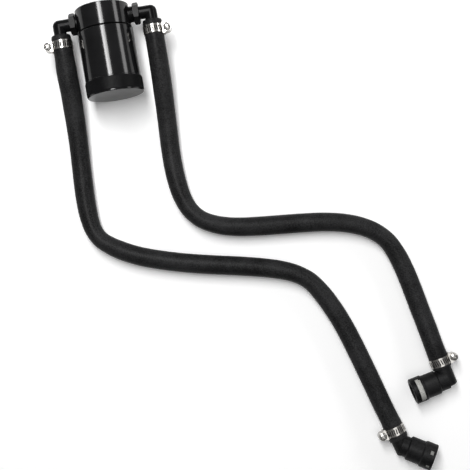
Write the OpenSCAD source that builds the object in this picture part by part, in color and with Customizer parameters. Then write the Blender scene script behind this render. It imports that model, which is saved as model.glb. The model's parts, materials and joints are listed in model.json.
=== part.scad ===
// Oil catch can with two hoses, lying on its side on a flat surface.
// Row frame: +Y along the can's axis towards its head, +Z up off the surface.
// The origin is on the surface, under the middle of the can's length and midway between its two elbows.
// The elbows' threads go into the head to different depths.
// Each piece of the can is drawn standing, with its bottom face at z = 0, and is then laid down.
// Each clamp is drawn with its hose along +X and its screw on the +Y side, pointing up.
// Each connector is drawn with its knuckle at the origin and its mouth along +X.

/* [Can] */
// Length from the reservoir's bottom face to the head's top face
can_l = 94.5; // [82:0.5:160]
// Outer diameter of the reservoir above its grip band
reservoir_d = 59; // [56:0.5:62]
// How far the knurled grip band stands out from the reservoir's side
grip_step = 0.9; // [0.5:0.05:3]
// Height of the grip band
grip_h = 17; // [8:0.5:25]
// Thickness of the reservoir's floor
floor_t = 4; // [2:0.5:8]
// Wall of the reservoir below its threaded neck
reservoir_wall = 3.2; // [2:0.1:4]
// Wall of the reservoir round its threaded neck
thread_wall = 5.1; // [4.5:0.1:6]
// Chamfer on the turned edges of the can
edge_c = 0.8; // [0.3:0.1:1.2]
// Height of the dark groove between the reservoir and the head
groove_h = 1.5; // [0.5:0.1:1.8]
// Depth of that groove
groove_depth = 1.4; // [0.6:0.1:1.8]

/* [Head] */
// How far the head's side lies inside the reservoir's
head_step = 0.9; // [0:0.05:1.5]
// Height of the head above the reservoir's rim
head_h = 24; // [22:0.5:30]
// Length of the threaded spigot that the reservoir screws onto
spigot_l = 12; // [10:0.5:18]
// Wall of the spigot round the filter chamber
spigot_wall = 4; // [3:0.5:5]
// Distance from the head's top face down to the axis of the ports
port_drop = 12.2; // [11:0.1:14]
// Diameter of the ports' pipe thread
port_d = 16.5; // [13:0.1:17]
// Diameter of the drilled passages
passage_d = 11; // [8:0.5:11]
// Distance between the two bolt holes in the head's top face
bolt_spacing = 33; // [28:0.5:40]
// Diameter of the bolt holes
bolt_d = 5; // [4:0.1:6]
// Depth of the bolt holes
bolt_depth = 10; // [6:0.5:12]

/* [Filter] */
// Thickness of the baffle plate
baffle_t = 1.5; // [1:0.1:2.5]
// How far the baffle plate's edge lies inside the spigot's
baffle_margin = 1; // [0.5:0.1:2]
// Diameter of the holes in the baffle plate
baffle_hole_d = 2.4; // [1.5:0.1:3]
// Distance between those holes
baffle_pitch = 4; // [3.5:0.5:6]
// Thickness of the filter pad
pad_t = 8; // [4:0.5:9]
// Diameter of the head's centre boss
boss_d = 9; // [7:0.5:9]
// Diameter of the screw that holds the baffle plate
baffle_screw_d = 4; // [3:0.5:4]
// Outer diameter of the inlet's drop tube
tube_d = 10.8; // [8:0.1:10.8]
// Wall of the drop tube
tube_wall = 1.2; // [0.8:0.1:2]
// Height of the drop tube's lower end above the reservoir's floor
tube_clearance = 36; // [15:1:45]
// Cord diameter of the O-ring under the head
ring_seal_d = 1.5; // [1.2:0.1:1.6]

/* [Elbows] */
// Length of an elbow's pipe thread
thread_l = 12.1; // [10:0.1:13]
// Length of thread left bare between the head and the left elbow's hexagon
left_thread = 0.3; // [0.1:0.1:5]
// Length of thread left bare between the head and the right elbow's hexagon
right_thread = 3.9; // [0.1:0.1:5]
// Distance from the hexagon to the axis of the elbow's leg
arm_l = 11.9; // [10.5:0.1:20]
// Width of the hexagon along the thread
hex_w = 6.4; // [4:0.1:8]
// Distance across the hexagon's flats
hex_flats = 20.8; // [18:0.1:24]
// Angle of the chamfer on the hexagon's corners
hex_chamfer = 30; // [15:1:40]
// Outer diameter of the elbow's arm and leg
elbow_d = 13.5; // [13:0.1:15]
// Distance from the port's axis down to the end of the hose
elbow_leg = 10.3; // [9:0.1:20]
// Diameter of the bore through the fittings
fitting_bore = 9; // [6:0.5:9]

/* [Hoses] */
// Outer diameter of the hoses
hose_d = 20.7; // [18:0.1:22]
// Inner diameter of the hoses
hose_bore = 12.7; // [12:0.1:12.8]
// Length of the barbed stem inside the hose
barb_l = 20; // [14:1:22]
// Diameter of the stem under its barbs
barb_root_d = 11.6; // [11:0.1:11.8]
// Diameter over the barbs
barb_d = 13.2; // [12.8:0.1:13.5]
// Number of barbs on a stem
barb_count = 4; // [2:1:5]

/* [Clamps] */
// Width of the clamp band
band_w = 9; // [8:0.5:12]
// Thickness of the clamp band
band_t = 0.7; // [0.5:0.1:1]
// Distance from the hose's end to the band's middle at the can
clamp_inset = 10.3; // [7:0.1:13]
// Distance from the left hose's end to the band's middle at its connector
left_clamp_inset = 10; // [5:0.1:13]
// Distance from the right hose's end to the band's middle at its connector
right_clamp_inset = 7; // [5:0.1:13]
// Length of a slot in the band
slot_l = 5.6; // [4:0.1:6]
// Width of a slot in the band
slot_w = 1.2; // [0.6:0.1:1.6]
// Distance between slots along the band
slot_pitch = 2.4; // [2:0.05:3]
// Angle round the hose over which the band is slotted
slotted_arc = 180; // [90:10:200]
// Angle round the hose over which the band's free end laps
lap_arc = 55; // [20:5:70]
// How far the free end's edges lie inside the band's
lap_inset = 0.2; // [0.1:0.1:1]
// Diameter of the worm
worm_d = 6.8; // [5:0.1:7]
// Diameter of the screw's necks, where it turns in the housing's end walls
screw_neck_d = 4.8; // [3.5:0.1:4.8]
// Length of the worm housing along the screw
housing_l = 11; // [9:0.5:13]
// Wall of the worm housing
housing_wall = 1; // [0.8:0.1:1.5]
// Distance across the flats of the screw's head
screw_flats = 7; // [6:0.1:8]
// Height of the screw's head
screw_head_h = 4; // [3:0.1:6]

/* [Connectors] */
// Diameter of the pipe end that a connector takes
spigot_bore = 16; // [14:0.1:16.4]
// Length of the bore that guides the pipe end
pilot_l = 10; // [6:0.5:10]
// Wall of the mouth ring round its retainer
mouth_wall = 2.1; // [1.6:0.1:2.5]
// Length of the lip in front of the retainer
lip_l = 1.3; // [1:0.1:3]
// Room for the retainer along the connector, from the mouth
retainer_room = 12.6; // [12.5:0.1:13]
// Distance from the mouth to the end of the barrel
barrel_l = 28.5; // [25:0.5:29]
// Wall of the neck round the guiding bore
neck_wall = 3; // [2:0.1:4]
// Length of the bushing in front of the seals
bushing_l = 2.6; // [2:0.1:4]
// Length of the spacer between the seals
spacer_l = 2.4; // [1.5:0.1:3]
// Chamfer on the moulded edges
mould_c = 0.7; // [0.3:0.1:1]
// Cord diameter of the connectors' O-rings
o_ring_d = 2.2; // [1.8:0.1:2.2]
// Diameter of the leg that meets the hose
leg_d = 18; // [16:0.5:19]
// Length of a retainer along its connector
retainer_l = 5; // [4:0.1:6]
// Distance from the mouth to the retainer's far side
retainer_x = 10.4; // [9:0.1:11]

/* [Right-angle connector] */
// Outer diameter of its mouth ring
square_mouth_d = 27.4; // [27:0.1:29]
// Length of its mouth ring
square_mouth_l = 13; // [13:0.5:14]
// Outer diameter of its barrel
square_barrel_d = 25.4; // [25:0.1:26]
// Distance from its mouth to its knuckle
square_reach = 39; // [39:0.5:45]
// Distance from its knuckle to the hose's end
square_leg = 12.5; // [12:0.5:20]
// How far its leg runs on past the mouth's axis
square_heel = 7.8; // [7:0.1:10]
// Distance from its mouth to its two windows
window_start = 1.5; // [1.3:0.1:3]
// Half the gap between the two windows, across the connector
window_z = 5.7; // [5:0.1:9]
// Radius of the windows' corners
window_c = 1.2; // [0.5:0.1:2]
// How far a retainer's pads lie inside the mouth ring's outline
pad_sink = 0.5; // [0.2:0.1:1]

/* [Angled connector] */
// Outer diameter of its mouth ring
angled_mouth_d = 28.6; // [27:0.1:29]
// Length of its mouth ring
angled_mouth_l = 13; // [13:0.5:14]
// Outer diameter of its barrel
angled_barrel_d = 26; // [25:0.1:26]
// Distance from its mouth to its knuckle
angled_reach = 36; // [36:0.5:45]
// Distance from its knuckle to the hose's end
angled_leg = 7.5; // [7:0.5:20]
// How far its leg runs on past the knuckle
angled_heel = 9; // [7:0.1:11]
// How far it is rolled on its hose, which lifts its mouth
angled_roll = 16; // [0:1:30]
// Width of its four small windows round the mouth ring
port_w = 4.4; // [3:0.1:6]
// Length of those windows along the connector
port_l = 3.6; // [2:0.1:4]
// Distance from its mouth to the middle of those windows
port_x = 4.4; // [3.5:0.1:5]
// Half the angle between two neighbouring windows
port_turn = 34; // [28:1:45]

/* [Fits] */
// Gap between pieces that are pushed or screwed together
push_gap = 0.05; // [0.02:0.01:0.1]
// Gap between pieces that move against each other
run_gap = 0.15; // [0.1:0.01:0.25]

/* [Hidden] */
$fn = 64;

ANODISED = "#1c1c1e";
RUBBER = "#26262a";
STEEL = "#c4c6c8";
NYLON = "#202023";
PALE_NYLON = "#b9bab5";
SEAL = "#141414";
MESH = "#9a9a98";

// Heights on the standing can
rim_z = can_l - head_h;
spigot_z = rim_z - spigot_l;
port_z = can_l - port_drop;
head_r = reservoir_d / 2 - head_step;
grip_r = reservoir_d / 2 + grip_step;
axis_z = grip_r;
neck_r = reservoir_d / 2 - thread_wall;
spigot_r = neck_r - run_gap;
land_r = reservoir_d / 2 - groove_depth;
seal_track_r = (neck_r + land_r) / 2;
seal_slot_w = ring_seal_d + 2 * run_gap;
boss_r = boss_d / 2;
passage_r = passage_d / 2;
chamber_r = spigot_r - spigot_wall;
baffle_r = spigot_r - baffle_margin;
passage_x = (boss_r + chamber_r) / 2;
port_depth = thread_l - min(left_thread, right_thread) + push_gap;
screw_shank_r = baffle_screw_d / 2;
tube_r = tube_d / 2;

// Reach of each elbow from the can's axis to its hose, and the can's place midway between the hoses
left_hex_x = head_r + left_thread;
right_hex_x = head_r + right_thread;
left_reach = left_hex_x + hex_w + arm_l;
right_reach = right_hex_x + hex_w + arm_l;
can_x = (left_reach - right_reach) / 2;
hose_x = (left_reach + right_reach) / 2;

// Route of a hose: it leaves its elbow straight, comes down onto the surface and rises to its connector
hose_r = hose_d / 2;
lay_z = hose_r;
hose_start_y = port_z - elbow_leg - can_l / 2;
stem_run = barb_l + 2;
left_end = [231, -457.5, hose_r + band_t * 2 + 0.3];
left_heading = -74.5;
right_end = [289.8, -391.2, square_mouth_d / 2];
right_heading = -78.5;
left_route = concat(
    [
        [-hose_x, hose_start_y, axis_z],
        [-hose_x, hose_start_y - stem_run, axis_z]
    ],
    [
        [-49.5, -17, 28], [-49.5, -36, 24], [-50.3, -55, 19], [-51.2, -74, 14.5], [-52.2, -93, 11.8],
        [-53.4, -111.5, lay_z], [-54.4, -131.5, lay_z], [-55, -151.5, lay_z], [-54.2, -169.5, lay_z],
        [-51.6, -183, lay_z], [-45.8, -194, lay_z], [-36.4, -202.5, lay_z], [-23.2, -211, lay_z],
        [-7, -219, lay_z], [15, -227, lay_z], [41, -234.7, lay_z], [69, -241.5, lay_z],
        [97, -247.8, lay_z], [121, -253.8, lay_z], [140, -259.8, lay_z], [155, -266.8, lay_z],
        [166.7, -275.8, lay_z], [175.8, -288.5, lay_z], [184.8, -305.5, lay_z], [193.8, -327.3, lay_z],
        [201.7, -352, lay_z], [208.8, -377, lay_z], [215, -399.8, 10.8], [220.3, -419.8, 11.4]
    ],
    [
        left_end - stem_run * heading_vector(left_heading),
        left_end
    ]
);
right_route = concat(
    [
        [hose_x, hose_start_y, axis_z],
        [hose_x, hose_start_y - stem_run, axis_z]
    ],
    [
        [48.7, -17, 28], [48.1, -36, 24], [47.2, -55, 19], [46.2, -74, 14.5], [45.1, -93, 11.8],
        [44.2, -111, lay_z], [44.1, -129.5, lay_z], [45.1, -146.5, lay_z], [47.9, -163.5, lay_z],
        [53.7, -178.7, lay_z], [63.8, -190.8, lay_z], [79, -199.4, lay_z], [97.5, -205, lay_z],
        [121, -208.6, lay_z], [146, -211.2, lay_z], [170, -213.6, lay_z], [192, -216.4, lay_z],
        [212, -220.7, lay_z], [230, -227.2, lay_z], [245, -236.2, lay_z], [256.3, -248, lay_z],
        [263.8, -263.7, lay_z], [269.4, -282.6, lay_z], [273.8, -303.5, lay_z], [278, -326.3, lay_z],
        [282, -348.2, 11.8]
    ],
    [
        right_end - stem_run * heading_vector(right_heading),
        right_end
    ]
);
hose_sides = 12;
slot_slant = 8;

// Clamp sizes across the hose
band_r = hose_r + push_gap * 2;
band_out = band_r + band_t;
worm_r = worm_d / 2;
worm_y = band_out + worm_r + run_gap;
shell_r = worm_r + run_gap + housing_wall;
housing_w = band_w + 2 * housing_wall;
screw_neck_r = screw_neck_d / 2;
housing_half_arc = asin(housing_l / 2 / band_out);
slot_step = slot_pitch / band_out * 180 / PI;

// Places in a connector, from its mouth inwards
bushing_x = retainer_room + push_gap;
front_seal_x = bushing_x + bushing_l + push_gap + o_ring_d / 2;
spacer_x = front_seal_x + o_ring_d / 2 + push_gap;
rear_seal_x = spacer_x + spacer_l + push_gap + o_ring_d / 2;
pilot_x = rear_seal_x + o_ring_d / 2 + push_gap;
pipe_stop_x = pilot_x + pilot_l;
pilot_r = spigot_bore / 2;
lip_r = pilot_r + 1;
seal_chamber_r = pilot_r + o_ring_d + push_gap;
core_r = fitting_bore / 2 + 1;
connector_neck_r = pilot_r + neck_wall;
window_l = retainer_x + run_gap - window_start;
square_pad_y = sqrt(pow(square_mouth_d / 2, 2) - pow(window_z, 2)) - 0.6;
square_turn = -90;
angled_turn = 45;

function heading_vector(a) = [cos(a), sin(a), 0];
function unit(v) = v / norm(v);

// Lays the standing can down, with its head towards +Y and its left port towards -X
module laid() {
    translate([can_x, -can_l / 2, axis_z]) rotate([-90, 0, 0]) children();
}

// Puts a clamp on a hose, at a distance back from the hose's end
module on_hose(end, heading, side) {
    translate(end) rotate([0, 0, heading]) mirror([0, side < 0 ? 1 : 0, 0]) children();
}

module on_left_can() {
    on_hose([-hose_x, hose_start_y - clamp_inset, axis_z], -90, -1) children();
}

module on_right_can() {
    on_hose([hose_x, hose_start_y - clamp_inset, axis_z], -90, 1) children();
}

module on_left_end() {
    on_hose(left_end - left_clamp_inset * heading_vector(left_heading), left_heading, -1) children();
}

module on_right_end() {
    on_hose(right_end - right_clamp_inset * heading_vector(right_heading), right_heading, 1) children();
}

// Puts a connector at its hose's end: its knuckle lies a leg's length past the end, and it turns from there
module at_left_connector() {
    translate(left_end + angled_leg * heading_vector(left_heading))
    rotate([0, 0, left_heading]) rotate([angled_roll, 0, 0]) rotate([0, 0, angled_turn]) children();
}

module at_right_connector() {
    translate(right_end + square_leg * heading_vector(right_heading))
    rotate([0, 0, right_heading + square_turn]) children();
}

// A cylinder along +X that starts at x
module rod(x, l, r) {
    translate([x, 0, 0]) rotate([0, 90, 0]) cylinder(r = r, h = l);
}

// A ring round Z with a square section
module washer(z, h, r_in, r_out) {
    difference() {
        translate([0, 0, z]) cylinder(r = r_out, h = h);
        translate([0, 0, z - 1]) cylinder(r = r_in, h = h + 2);
    }
}

module o_ring(track_r, cord_r) {
    rotate_extrude() translate([track_r, 0]) circle(r = cord_r, $fn = 32);
}

// A barbed stem along +X, solid, with each barb rising away from the hose's end
module barbed_stem(x) {
    pitch = barb_l / barb_count;
    teeth = [for (i = [0:barb_count - 1]) each [
        [barb_root_d / 2, i * pitch],
        [barb_d / 2, i * pitch + pitch * 0.2],
        [barb_root_d / 2, (i + 1) * pitch]
    ]];
    translate([x, 0, 0]) rotate([0, 90, 0])
    rotate_extrude() polygon(concat([[0, 0]], teeth, [[0, barb_l]]));
}

// The can

module reservoir() {
    body_r = reservoir_d / 2;
    cavity_r = body_r - reservoir_wall;
    neck_z = rim_z - spigot_l - 1;
    undercut = cavity_r - neck_r;
    color(ANODISED)
    laid()
    difference() {
        rotate_extrude() polygon([
            [0, 0], [grip_r - edge_c, 0], [grip_r, edge_c],
            [grip_r, grip_h - edge_c], [grip_r - edge_c, grip_h], [body_r, grip_h],
            [body_r, rim_z - groove_h], [land_r, rim_z - groove_h], [land_r, rim_z],
            [neck_r + edge_c / 2, rim_z], [neck_r, rim_z - edge_c / 2],
            [neck_r, neck_z], [cavity_r, neck_z - undercut],
            [cavity_r, floor_t + edge_c * 2], [cavity_r - edge_c * 2, floor_t], [0, floor_t]
        ]);
        washer(rim_z - seal_slot_w, seal_slot_w + 1, seal_track_r - seal_slot_w / 2,
               seal_track_r + seal_slot_w / 2);
    }
}

module reservoir_seal() {
    color(SEAL)
    laid()
    translate([0, 0, rim_z - seal_slot_w / 2]) o_ring(seal_track_r, ring_seal_d / 2);
}

module head() {
    color(ANODISED)
    laid()
    difference() {
        rotate_extrude() polygon([
            [0, spigot_z], [spigot_r - edge_c, spigot_z], [spigot_r, spigot_z + edge_c],
            [spigot_r, rim_z], [head_r - edge_c / 2, rim_z], [head_r, rim_z + edge_c / 2],
            [head_r, can_l - edge_c], [head_r - edge_c, can_l], [0, can_l]
        ]);
        washer(spigot_z - 1, spigot_l + 1, boss_r, chamber_r);
        translate([0, 0, spigot_z - 1]) cylinder(d = baffle_screw_d + 2 * push_gap, h = bolt_depth + 1);
        for (side = [-1, 1]) {
            translate([0, 0, port_z]) mirror([side < 0 ? 1 : 0, 0, 0]) {
                rod(head_r - port_depth, port_depth + 1, port_d / 2 + push_gap);
                rod(passage_x, head_r - passage_x, passage_r);
            }
            translate([side * passage_x, 0, spigot_z]) cylinder(r = passage_r, h = port_z - spigot_z);
            translate([0, side * bolt_spacing / 2, can_l - bolt_depth])
            cylinder(d = bolt_d, h = bolt_depth + 1);
        }
    }
}

// The pad lies on the baffle plate, round the boss, with a hole for the drop tube
module filter_pad() {
    color(MESH)
    laid()
    difference() {
        washer(spigot_z, pad_t, boss_r + run_gap, chamber_r - run_gap);
        translate([passage_x, 0, spigot_z - 1]) cylinder(r = tube_r + run_gap, h = pad_t + 2);
    }
}

module baffle_plate() {
    ring_count = floor((chamber_r - boss_r - baffle_hole_d / 2) / baffle_pitch);
    color(STEEL)
    laid()
    translate([0, 0, spigot_z - baffle_t])
    difference() {
        cylinder(r = baffle_r, h = baffle_t);
        translate([0, 0, -1]) cylinder(d = baffle_screw_d + 4 * push_gap, h = baffle_t + 2);
        translate([passage_x, 0, -1]) cylinder(r = tube_r + push_gap, h = baffle_t + 2);
        for (ring = [1:ring_count]) {
            ring_r = boss_r + ring * baffle_pitch;
            holes = floor(2 * PI * ring_r / baffle_pitch);
            for (i = [0:holes - 1]) {
                at = ring_r * [cos(i * 360 / holes), sin(i * 360 / holes)];
                if (norm(at - [passage_x, 0]) > tube_r + baffle_hole_d)
                    translate([at.x, at.y, -1]) cylinder(d = baffle_hole_d, h = baffle_t + 2, $fn = 24);
            }
        }
    }
}

module baffle_screw() {
    head_h = screw_shank_r * 1.4;
    color(STEEL)
    laid()
    translate([0, 0, spigot_z - baffle_t])
    difference() {
        union() {
            translate([0, 0, -head_h]) cylinder(d = baffle_screw_d * 1.8, h = head_h);
            cylinder(r = screw_shank_r, h = bolt_depth);
        }
        translate([0, 0, -head_h - 1]) cylinder(d = baffle_screw_d * 0.75, h = head_h * 0.6 + 1, $fn = 6);
    }
}

// The drop tube is pushed up the inlet's passage to the port's thread, and its lower end is cut slanting
module inlet_tube() {
    top_z = port_z - port_d / 2 - 2 * push_gap;
    bottom_z = floor_t + tube_clearance;
    slant = 30;
    color(STEEL)
    laid()
    translate([passage_x, 0, 0])
    difference() {
        washer(bottom_z, top_z - bottom_z, tube_r - tube_wall, tube_r);
        translate([0, 0, bottom_z + tube_r * tan(slant)]) rotate([0, slant, 0])
        translate([0, 0, -tube_d]) cube(2 * tube_d, center = true);
    }
}

// A hexagon along +X that starts at x, with its corners chamfered at both ends
module chamfered_hexagon(x, w, flats) {
    corner_r = flats / sqrt(3);
    face_r = flats / 2 - 0.2;
    chamfer_l = (corner_r - face_r) * tan(hex_chamfer);
    translate([x, 0, 0]) rotate([0, 90, 0])
    intersection() {
        cylinder(r = corner_r, h = w, $fn = 6);
        rotate_extrude() polygon([
            [0, 0], [face_r, 0], [corner_r, chamfer_l], [corner_r, w - chamfer_l], [face_r, w], [0, w]
        ]);
    }
}

// An elbow on the right side of the can, or its mirror image on the left
module elbow(side, hex_x) {
    thread_x = hex_x - thread_l;
    leg_x = hex_x + hex_w + arm_l;
    arm_r = elbow_d / 2;
    bore_r = fitting_bore / 2;
    color(ANODISED)
    laid()
    translate([0, 0, port_z])
    mirror([side < 0 ? 1 : 0, 0, 0])
    difference() {
        union() {
            rod(thread_x, thread_l, port_d / 2);
            chamfered_hexagon(hex_x, hex_w, hex_flats);
            rod(hex_x + hex_w, arm_l, arm_r);
            translate([leg_x, 0, 0]) {
                sphere(r = arm_r);
                rotate([0, 90, 0]) {
                    rod(0, elbow_leg, arm_r);
                    barbed_stem(elbow_leg);
                }
            }
        }
        rod(thread_x - 1, leg_x - thread_x + 1, bore_r);
        translate([leg_x, 0, 0]) {
            sphere(r = bore_r);
            rotate([0, 90, 0]) rod(0, elbow_leg + barb_l + 1, bore_r);
        }
    }
}

module elbow_left() {
    elbow(-1, left_hex_x);
}

module elbow_right() {
    elbow(1, right_hex_x);
}

// The hoses

function route_dir(route, i, first, last) =
    i == 0 ? first : i == len(route) - 1 ? last : unit(route[i + 1] - route[i - 1]);

function ring_points(centre, dir, r) =
    let (side = unit(cross(dir, [0, 0, 1])), up = cross(side, dir))
    [for (k = [0:hose_sides - 1]) let (a = k * 360 / hose_sides) centre + r * (cos(a) * side + sin(a) * up)];

function quad(a, b, c, d) = [[a, b, c], [a, c, d]];

// A hollow tube swept along a route, with its two ends square to the directions first and last
module hose(route, first, last) {
    n = len(route);
    m = hose_sides;
    outer = [for (i = [0:n - 1]) each ring_points(route[i], route_dir(route, i, first, last), hose_r)];
    inner = [for (i = [0:n - 1]) each ring_points(route[i], route_dir(route, i, first, last), hose_bore / 2)];
    outside = [for (i = [0:n - 2], k = [0:m - 1]) let (a = i * m + k, b = i * m + (k + 1) % m)
        each quad(a, b, b + m, a + m)];
    inside = [for (i = [0:n - 2], k = [0:m - 1]) let (a = (n + i) * m + k, b = (n + i) * m + (k + 1) % m)
        each quad(a, a + m, b + m, b)];
    start_face = [for (k = [0:m - 1]) let (a = k, b = (k + 1) % m) each quad(a, a + n * m, b + n * m, b)];
    end_face = [for (k = [0:m - 1]) let (a = (n - 1) * m + k, b = (n - 1) * m + (k + 1) % m)
        each quad(a, b, b + n * m, a + n * m)];
    color(RUBBER)
    polyhedron(points = concat(outer, inner), faces = concat(outside, inside, start_face, end_face));
}

module hose_left() {
    hose(left_route, [0, -1, 0], heading_vector(left_heading));
}

module hose_right() {
    hose(right_route, [0, -1, 0], heading_vector(right_heading));
}

// The clamps

// Turns what is drawn round Z so that it lies round the hose, with its angle 0 on the +Y side
module round_hose() {
    rotate([0, 90, 0]) rotate([0, 0, 90]) children();
}

// The band is slotted over its upper side, and its free end laps over it on the underside
module clamp_band() {
    slots = floor(slotted_arc / slot_step);
    color(STEEL)
    difference() {
        union() {
            difference() {
                rod(-band_w / 2, band_w, band_out);
                rod(-band_w, 2 * band_w, band_r);
            }
            round_hose() rotate([0, 0, -housing_half_arc - lap_arc])
            rotate_extrude(angle = lap_arc) translate([band_out - band_t / 2, lap_inset - band_w / 2])
            square([band_t * 1.5, band_w - 2 * lap_inset]);
        }
        for (i = [0:slots - 1])
            rotate([housing_half_arc + i * slot_step, 0, 0])
            translate([0, band_r + band_t / 2, 0]) rotate([0, slot_slant, 0])
            cube([slot_l, band_t * 3, slot_w], center = true);
    }
}

// The housing sits astride the band, open below the worm, with an end wall for each of the screw's necks
module clamp_housing() {
    chamber_l = housing_l - 2 * housing_wall;
    foot_y = sqrt(band_out * band_out - housing_l * housing_l / 4) - band_t;
    color(STEEL)
    difference() {
        union() {
            translate([0, worm_y, -housing_l / 2]) cylinder(r = shell_r, h = housing_l);
            translate([-shell_r, foot_y, -housing_l / 2]) cube([2 * shell_r, worm_y - foot_y, housing_l]);
            translate([-housing_w / 2, foot_y, -housing_l / 2])
            cube([housing_w, band_out + housing_wall - foot_y, housing_l]);
        }
        rod(-housing_w, 2 * housing_w, band_out + push_gap);
        translate([0, worm_y, -chamber_l / 2]) cylinder(r = worm_r + run_gap, h = chamber_l);
        translate([-worm_r * 0.8, 0, -chamber_l / 2]) cube([worm_r * 1.6, worm_y, chamber_l]);
        translate([0, worm_y, -housing_l]) cylinder(r = screw_neck_r + run_gap, h = 2 * housing_l);
    }
}

// The screw's worm runs between the housing's end walls, and its slotted hexagon head is on top
module clamp_screw() {
    worm_l = housing_l - 2 * housing_wall - 2 * run_gap;
    head_z = housing_l / 2 + run_gap;
    tail_z = -housing_l / 2 - housing_wall;
    head_r = screw_flats / sqrt(3);
    cross_w = screw_flats / 7;
    color(STEEL)
    translate([0, worm_y, 0])
    difference() {
        union() {
            translate([0, 0, -worm_l / 2]) cylinder(r = worm_r, h = worm_l);
            translate([0, 0, tail_z]) cylinder(r = screw_neck_r, h = head_z - tail_z + 1);
            translate([0, 0, head_z]) cylinder(r = head_r + 0.2, h = screw_head_h / 4);
            translate([0, 0, head_z]) cylinder(r = head_r, h = screw_head_h, $fn = 6);
        }
        for (turn = [0, 90])
            translate([0, 0, head_z + screw_head_h]) rotate([0, 0, turn])
            cube([screw_flats * 0.8, cross_w, screw_head_h * 0.7], center = true);
    }
}

module clamp_left_can_band() { on_left_can() clamp_band(); }
module clamp_left_can_housing() { on_left_can() clamp_housing(); }
module clamp_left_can_screw() { on_left_can() clamp_screw(); }
module clamp_right_can_band() { on_right_can() clamp_band(); }
module clamp_right_can_housing() { on_right_can() clamp_housing(); }
module clamp_right_can_screw() { on_right_can() clamp_screw(); }
module clamp_left_end_band() { on_left_end() clamp_band(); }
module clamp_left_end_housing() { on_left_end() clamp_housing(); }
module clamp_left_end_screw() { on_left_end() clamp_screw(); }
module clamp_right_end_band() { on_right_end() clamp_band(); }
module clamp_right_end_housing() { on_right_end() clamp_housing(); }
module clamp_right_end_screw() { on_right_end() clamp_screw(); }

// The connectors

// Puts what is drawn along Z, from a connector's mouth inwards, on the connector
module from_mouth(reach) {
    translate([reach, 0, 0]) rotate([0, -90, 0]) children();
}

// Two rounded windows through the mouth ring, at the connector's top and bottom
module square_windows() {
    wide = square_mouth_d * 2;
    from_mouth(square_reach)
    for (side = [-1, 1])
        translate([side < 0 ? -wide - window_z : window_z, 0, window_start]) {
            translate([0, -square_pad_y, window_c]) cube([wide, 2 * square_pad_y, window_l - 2 * window_c]);
            translate([0, window_c - square_pad_y, 0])
            cube([wide, 2 * (square_pad_y - window_c), window_l]);
            for (y = [-1, 1], z = [window_c, window_l - window_c])
                translate([0, y * (square_pad_y - window_c), z]) rotate([0, 90, 0])
                cylinder(r = window_c, h = wide);
        }
}

// Puts a piece at each of the angled connector's four small windows
module at_ports() {
    for (top = [0, 180], turn = [-port_turn, port_turn]) rotate([0, 0, top + turn]) children();
}

// The moulded body: mouth ring, barrel, neck and a leg that turns off to the hose's barbed stem
module connector_body(reach, mouth_d, mouth_l, barrel_d, leg, heel, turn) {
    mouth_r = mouth_d / 2;
    barrel_r = barrel_d / 2;
    leg_r = leg_d / 2;
    bore_r = fitting_bore / 2;
    difference() {
        union() {
            from_mouth(reach) rotate_extrude() polygon([
                [0, 0], [mouth_r - mould_c, 0], [mouth_r, mould_c], [mouth_r, mouth_l - mould_c],
                [barrel_r, mouth_l + mould_c], [barrel_r, barrel_l - mould_c], [barrel_r - mould_c, barrel_l],
                [connector_neck_r, barrel_l + mould_c], [connector_neck_r, reach], [0, reach]
            ]);
            rotate([0, 0, 180 - turn]) {
                rotate([0, 90, 0]) rotate_extrude() polygon([
                    [0, -heel], [leg_r - 2 * mould_c, -heel], [leg_r, 2 * mould_c - heel],
                    [leg_r, leg], [0, leg]
                ]);
                barbed_stem(leg);
            }
        }
        from_mouth(reach) rotate_extrude() polygon([
            [0, -1], [lip_r + mould_c, -1], [lip_r + mould_c, 0], [lip_r, mould_c],
            [lip_r, lip_l], [mouth_r - mouth_wall, lip_l], [mouth_r - mouth_wall, retainer_room],
            [seal_chamber_r, retainer_room], [seal_chamber_r, pilot_x], [pilot_r, pilot_x],
            [pilot_r, pipe_stop_x], [core_r, pipe_stop_x], [core_r, reach + core_r], [0, reach + core_r]
        ]);
        rotate([0, 0, 180 - turn]) rod(0, leg + barb_l + 1, bore_r);
    }
}

module seal_stack_ring(reach, at, l) {
    from_mouth(reach) washer(at, l, pilot_r + run_gap, seal_chamber_r - push_gap);
}

module seal_stack_seal(reach, at) {
    from_mouth(reach) translate([0, 0, at]) o_ring(pilot_r + o_ring_d / 2, o_ring_d / 2);
}

module square_connector_body() {
    color(NYLON)
    at_right_connector()
    difference() {
        connector_body(square_reach, square_mouth_d, square_mouth_l, square_barrel_d, square_leg,
                       square_heel, square_turn);
        square_windows();
    }
}

// A squeeze ring whose two pads show in the windows at the top and the bottom
module square_connector_retainer() {
    mouth_r = square_mouth_d / 2;
    ring_r = mouth_r - mouth_wall - run_gap;
    pad_y = square_pad_y - run_gap;
    pad_z = window_z + run_gap;
    color(PALE_NYLON)
    at_right_connector()
    from_mouth(square_reach)
    translate([0, 0, retainer_x - retainer_l])
    difference() {
        union() {
            cylinder(r = ring_r, h = retainer_l);
            intersection() {
                cylinder(r = mouth_r - pad_sink, h = retainer_l);
                union() {
                    for (side = [-1, 1])
                        translate([side < 0 ? -mouth_r - pad_z : pad_z, -pad_y, 0]) {
                            cube([mouth_r, 2 * pad_y, retainer_l - window_c]);
                            translate([0, window_c, 0])
                            cube([mouth_r, 2 * (pad_y - window_c), retainer_l]);
                        }
                }
            }
        }
        translate([0, 0, -1]) cylinder(r = lip_r, h = retainer_l + 2);
    }
}

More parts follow.
